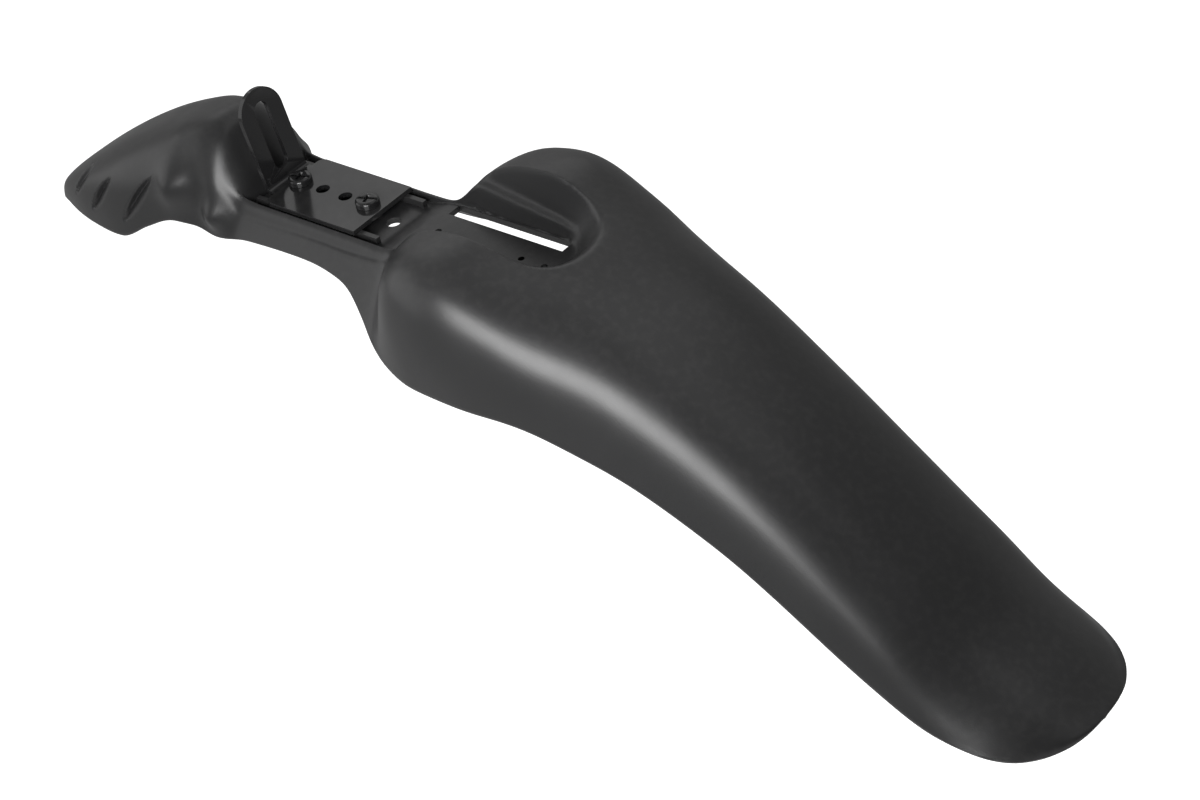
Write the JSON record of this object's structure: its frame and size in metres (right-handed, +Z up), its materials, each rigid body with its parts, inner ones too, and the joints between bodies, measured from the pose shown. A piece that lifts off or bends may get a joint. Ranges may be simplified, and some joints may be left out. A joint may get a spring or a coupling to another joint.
{
  "type": "bicycle mudguard",
  "caption": "Short front mudguard for a suspension fork: moulded plastic shell with hooded nose, narrow waist, broad tail and a slotted steel mounting bracket.",
  "frame": {"origin": "middle of the top face of the bracket's flat foot, which lies between the tray rims", "axes": "+X towards the tail, +Y to the side, +Z up and away from the tyre; the guard is mirror symmetric about the XZ plane"},
  "size_m": [0.4935, 0.1132, 0.16],
  "materials": {
    "shell_plastic": "satin black moulded plastic",
    "bracket_paint": "gloss black coating on steel",
    "screw_finish": "gloss black coating on steel",
    "washer_steel": "plain zinc plated steel",
    "nut_steel": "plain zinc plated steel"
  },
  "bodies": {
    "root": {"mudguard_shell": "shell_plastic", "fork_bracket": "bracket_paint", "front_screw": "screw_finish", "rear_screw": "screw_finish", "front_washer": "washer_steel", "rear_washer": "washer_steel", "front_nut": "nut_steel", "rear_nut": "nut_steel"}
  },
  "joints": []
}
